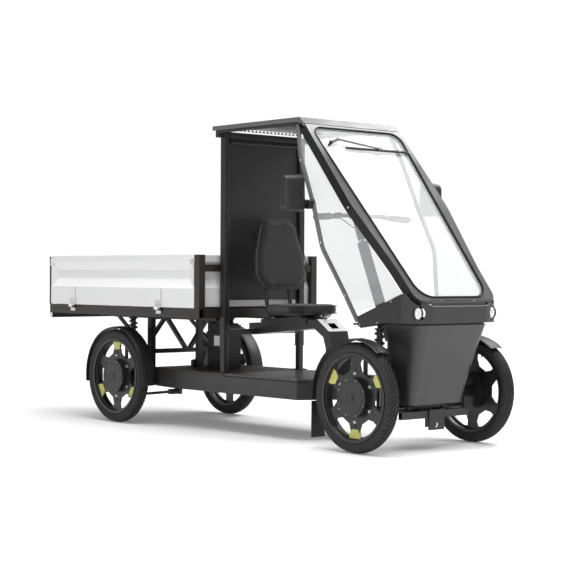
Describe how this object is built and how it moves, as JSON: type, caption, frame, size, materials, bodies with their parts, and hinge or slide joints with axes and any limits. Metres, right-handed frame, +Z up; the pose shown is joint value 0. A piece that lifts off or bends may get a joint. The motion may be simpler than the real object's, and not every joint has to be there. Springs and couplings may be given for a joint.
{
  "type": "cargo bicycle",
  "caption": "Four-wheeled pedal cargo vehicle with a drop-side flat bed behind a half-open cab, sloping windscreen, central seat spine and sprung wheels.",
  "frame": {"origin": "on the floor under the middle of the vehicle's length and width", "axes": "+X points forwards, +Y to the rider's left, +Z up"},
  "size_m": [3.16, 1.188, 1.735],
  "materials": {
    "black_frame": "satin powder coat on welded tube",
    "bed_rail": "dark brown-black coated rail, satin",
    "chassis_sheet": "dark grey powder coat, fine texture",
    "battery_case": "plain moulded case",
    "plywood": "film-faced plywood, brown-black",
    "lid_grey": "satin grey plate",
    "panel_grey": "light grey coated sheet, satin",
    "bulkhead_dark": "dark laminate",
    "roof_grey": "satin grey sheet",
    "screen_frame": "moulded satin grey surround",
    "clear": "clear glazing, faint grey tint",
    "nose_plastic": "fine-grained dark grey moulding",
    "lamp": "clear lamp lens in a black ring",
    "fender_plastic": "black moulded plastic",
    "tyre_rubber": "black block-tread rubber",
    "wheel_cast": "black coated casting with yellow patches on the spokes",
    "steel": "bright machined steel",
    "spring_black": "black coated coil spring and damper",
    "alloy": "forged alloy, dark anodised",
    "motor_case": "black coated housing",
    "pedal_black": "black moulded plastic",
    "seat_cover": "black upholstery cloth over foam",
    "lever_bright": "polished alloy"
  },
  "bodies": {
    "chassis": {"battery_box": "chassis_sheet", "battery_pack": "battery_case", "deck_rear": "plywood", "deck_lid": "lid_grey", "rear_truss": "black_frame", "seat_beam": "black_frame", "front_subframe": "black_frame", "bed_frame": "bed_rail", "bed_floor": "plywood", "headboard": "panel_grey", "cab_frame": "black_frame", "bulkhead": "bulkhead_dark", "roof_panel": "roof_grey", "windscreen_frame": "screen_frame", "windscreen": "clear", "side_windows": "clear", "nose_band": "nose_plastic", "nose_bucket": "nose_plastic", "headlights": "lamp", "skirts": "nose_plastic", "pedal_generator": "motor_case", "shock_fr": "spring_black", "shock_fl": "spring_black", "shock_rr": "spring_black", "shock_rl": "spring_black"},
    "steering": {"steering_shaft": "steel", "handlebar": "black_frame"},
    "brake_right": {"brake_lever_r": "alloy"},
    "brake_left": {"brake_lever_l": "alloy"},
    "wishbone_right": {"front_arm_r": "black_frame"},
    "wishbone_left": {"front_arm_l": "black_frame"},
    "hub_carrier_right": {"knuckle_r": "black_frame", "front_fender_r": "fender_plastic"},
    "hub_carrier_left": {"knuckle_l": "black_frame", "front_fender_l": "fender_plastic"},
    "wheel_front_right": {"wheel_fr": "wheel_cast", "tyre_fr": "tyre_rubber"},
    "wheel_front_left": {"wheel_fl": "wheel_cast", "tyre_fl": "tyre_rubber"},
    "wheel_rear_right": {"wheel_rr": "wheel_cast", "tyre_rr": "tyre_rubber"},
    "wheel_rear_left": {"wheel_rl": "wheel_cast", "tyre_rl": "tyre_rubber"},
    "trailing_arm_right": {"rear_arm_r": "black_frame", "rear_fender_r": "fender_plastic"},
    "trailing_arm_left": {"rear_arm_l": "black_frame", "rear_fender_l": "fender_plastic"},
    "cranks": {"crankset": "alloy"},
    "pedal_right": {"pedal_r": "pedal_black"},
    "pedal_left": {"pedal_l": "pedal_black"},
    "wiper_arm": {"wiper": "pedal_black"},
    "side_right": {"drop_side_r": "panel_grey"},
    "side_left": {"drop_side_l": "panel_grey"},
    "rear_gate": {"tailgate": "panel_grey"},
    "seat": {"seat_carriage": "black_frame", "seat_pad": "seat_cover", "seat_back": "seat_cover"},
    "seat_clamp": {"seat_lever": "lever_bright"},
    "mirror_right": {"mirror_r": "fender_plastic"},
    "mirror_left": {"mirror_l": "fender_plastic"}
  },
  "joints": [
    {"name": "steer", "type": "hinge", "parent": "chassis", "child": "steering", "pos_m": [1.179, 0, 0.324], "axis": [-0.3882, 0, 0.9216], "range_deg": [-32, 32]},
    {"name": "brake_lever_right", "type": "hinge", "parent": "steering", "child": "brake_right", "pos_m": [0.88484, -0.199, 1.20746], "axis": [0, 0, -1], "range_deg": [0, 12], "stiffness_Nm_per_rad": 2, "springref_deg": -6.88},
    {"name": "brake_lever_left", "type": "hinge", "parent": "steering", "child": "brake_left", "pos_m": [0.88484, 0.199, 1.20746], "axis": [0, 0, 1], "range_deg": [0, 12], "stiffness_Nm_per_rad": 2, "springref_deg": -6.88},
    {"name": "wishbone_right", "type": "hinge", "parent": "chassis", "child": "wishbone_right", "pos_m": [1.274, -0.13, 0.205], "axis": [-1, 0, 0], "range_deg": [-4, 4], "stiffness_Nm_per_rad": 9000, "springref_deg": -1.4, "deforming": ["shock_fr"]},
    {"name": "kingpin_right", "type": "hinge", "parent": "wishbone_right", "child": "hub_carrier_right", "pos_m": [1.274, -0.335, 0.28], "axis": [0, 0, 1], "range_deg": [-24.5, 24.5]},
    {"name": "spin_front_right", "type": "hinge", "parent": "hub_carrier_right", "child": "wheel_front_right", "pos_m": [1.274, -0.431, 0.28], "axis": [0, 1, 0], "continuous": true},
    {"name": "wishbone_left", "type": "hinge", "parent": "chassis", "child": "wishbone_left", "pos_m": [1.274, 0.13, 0.205], "axis": [1, 0, 0], "range_deg": [-4, 4], "stiffness_Nm_per_rad": 9000, "springref_deg": -1.4, "deforming": ["shock_fl"]},
    {"name": "kingpin_left", "type": "hinge", "parent": "wishbone_left", "child": "hub_carrier_left", "pos_m": [1.274, 0.335, 0.28], "axis": [0, 0, 1], "range_deg": [-24.5, 24.5]},
    {"name": "spin_front_left", "type": "hinge", "parent": "hub_carrier_left", "child": "wheel_front_left", "pos_m": [1.274, 0.431, 0.28], "axis": [0, 1, 0], "continuous": true},
    {"name": "trailing_arm_right", "type": "hinge", "parent": "chassis", "child": "trailing_arm_right", "pos_m": [-0.406, -0.32, 0.203], "axis": [0, 1, 0], "range_deg": [-4.5, 4.5], "stiffness_Nm_per_rad": 16000, "springref_deg": -1.07, "deforming": ["shock_rr"]},
    {"name": "spin_rear_right", "type": "hinge", "parent": "trailing_arm_right", "child": "wheel_rear_right", "pos_m": [-0.806, -0.431, 0.28], "axis": [0, 1, 0], "continuous": true},
    {"name": "trailing_arm_left", "type": "hinge", "parent": "chassis", "child": "trailing_arm_left", "pos_m": [-0.406, 0.32, 0.203], "axis": [0, 1, 0], "range_deg": [-4.5, 4.5], "stiffness_Nm_per_rad": 16000, "springref_deg": -1.07, "deforming": ["shock_rl"]},
    {"name": "spin_rear_left", "type": "hinge", "parent": "trailing_arm_left", "child": "wheel_rear_left", "pos_m": [-0.806, 0.431, 0.28], "axis": [0, 1, 0], "continuous": true},
    {"name": "crank_spin", "type": "hinge", "parent": "chassis", "child": "cranks", "pos_m": [1.034, 0, 0.45], "axis": [0, 1, 0], "continuous": true},
    {"name": "pedal_right_spin", "type": "hinge", "parent": "cranks", "child": "pedal_right", "pos_m": [1.199, -0.12, 0.45], "axis": [0, 1, 0], "continuous": true},
    {"name": "pedal_left_spin", "type": "hinge", "parent": "cranks", "child": "pedal_left", "pos_m": [0.869, 0.12, 0.45], "axis": [0, 1, 0], "continuous": true},
    {"name": "wiper_sweep", "type": "hinge", "parent": "chassis", "child": "wiper_arm", "pos_m": [0.8809, -0.263, 1.5859], "axis": [-0.7683, 0, -0.6401], "range_deg": [0, 75]},
    {"name": "drop_side_right", "type": "hinge", "parent": "chassis", "child": "side_right", "pos_m": [-0.826, -0.466, 0.695], "axis": [1, 0, 0], "range_deg": [0, 175]},
    {"name": "drop_side_left", "type": "hinge", "parent": "chassis", "child": "side_left", "pos_m": [-0.826, 0.466, 0.695], "axis": [-1, 0, 0], "range_deg": [0, 175]},
    {"name": "tailgate_drop", "type": "hinge", "parent": "chassis", "child": "rear_gate", "pos_m": [-1.572, 0, 0.695], "axis": [0, -1, 0], "range_deg": [0, 175]},
    {"name": "seat_slide", "type": "slide", "parent": "chassis", "child": "seat", "axis": [0.9982, 0, 0.0593], "range_m": [-0.05, 0.1]},
    {"name": "seat_clamp_lever", "type": "hinge", "parent": "seat", "child": "seat_clamp", "pos_m": [0.53057, 0, 0.66152], "axis": [0, -1, 0], "range_deg": [0, 60]},
    {"name": "mirror_swivel_right", "type": "hinge", "parent": "chassis", "child": "mirror_right", "pos_m": [0.884, -0.452, 1.3], "axis": [0, 0, 1], "range_deg": [-25, 25]},
    {"name": "mirror_swivel_left", "type": "hinge", "parent": "chassis", "child": "mirror_left", "pos_m": [0.884, 0.452, 1.3], "axis": [0, 0, 1], "range_deg": [-25, 25]}
  ],
  "couplings": [
    {"joint": "kingpin_right", "follows": "steer", "ratio": 0.75},
    {"joint": "kingpin_left", "follows": "steer", "ratio": 0.75}
  ]
}
